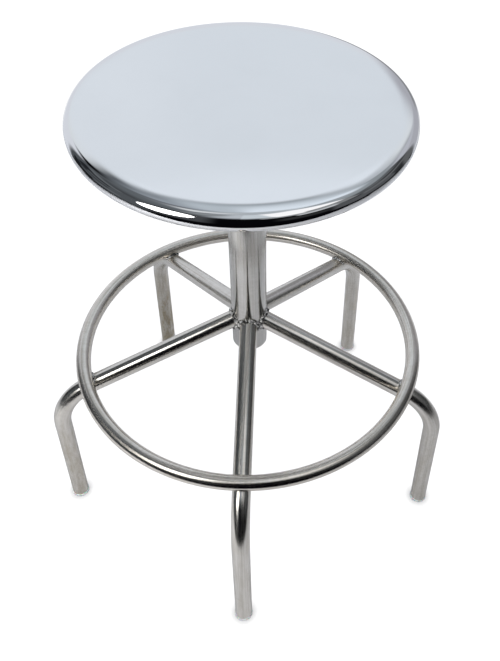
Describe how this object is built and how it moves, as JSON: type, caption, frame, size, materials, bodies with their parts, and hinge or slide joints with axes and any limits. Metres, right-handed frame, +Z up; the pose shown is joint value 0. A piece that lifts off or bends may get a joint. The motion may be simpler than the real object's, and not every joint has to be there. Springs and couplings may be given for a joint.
{
  "type": "adjustable stool",
  "caption": "Backless round stool with a polished metal seat on a screw spindle, bent tube legs on a centre hub and a foot ring.",
  "frame": {"origin": "on the floor, on the stool's axis", "axes": "+Z up along the hub and spindle, -Y along the front leg, +X to the stool's right as seen from the front"},
  "size_m": [0.602, 0.5744, 0.698],
  "materials": {
    "polished_steel": "mirror polished stainless steel",
    "satin_steel": "satin ground and electropolished stainless steel tube",
    "weld_metal": "brushed rippled stainless weld metal",
    "bright_fastener": "bright stainless fasteners",
    "spindle_steel": "turned stainless screw, lightly greased",
    "bronze": "turned bearing bronze",
    "pale_nylon": "natural nylon",
    "grey_plastic": "moulded plastic plug",
    "clear_glide": "translucent white nylon"
  },
  "bodies": {
    "base": {"leg_front": "satin_steel", "glide_front": "clear_glide", "leg_front_right": "satin_steel", "glide_front_right": "clear_glide", "leg_rear_right": "satin_steel", "glide_rear_right": "clear_glide", "leg_rear_left": "satin_steel", "glide_rear_left": "clear_glide", "leg_front_left": "satin_steel", "glide_front_left": "clear_glide", "hub_tube": "satin_steel", "hub_plug": "grey_plastic", "foot_ring": "satin_steel", "hub_weld_beads": "weld_metal", "ring_weld_beads": "weld_metal", "spindle_nut": "bronze", "nut_set_screws": "bright_fastener", "thrust_washer": "pale_nylon"},
    "guide": {"guide_bush": "pale_nylon"},
    "seat": {"seat_pan": "polished_steel", "seat_stiffener": "satin_steel", "seat_flange": "satin_steel", "flange_weld_bead": "weld_metal", "seat_screws": "bright_fastener", "weld_nuts": "bright_fastener", "spindle": "spindle_steel", "tail_washer": "bright_fastener", "tail_bolt": "bright_fastener"}
  },
  "joints": [
    {"name": "seat_lift", "type": "slide", "parent": "base", "child": "guide", "axis": [0, 0, 1], "range_m": [0, 0.1778]},
    {"name": "seat_turn", "type": "hinge", "parent": "guide", "child": "seat", "pos_m": [0, 0, 0.6], "axis": [0, 0, 1], "range_deg": [0, 10080]}
  ],
  "couplings": [
    {"joint": "seat_lift", "follows": "seat_turn", "m_per_rad": 0.0010106}
  ]
}
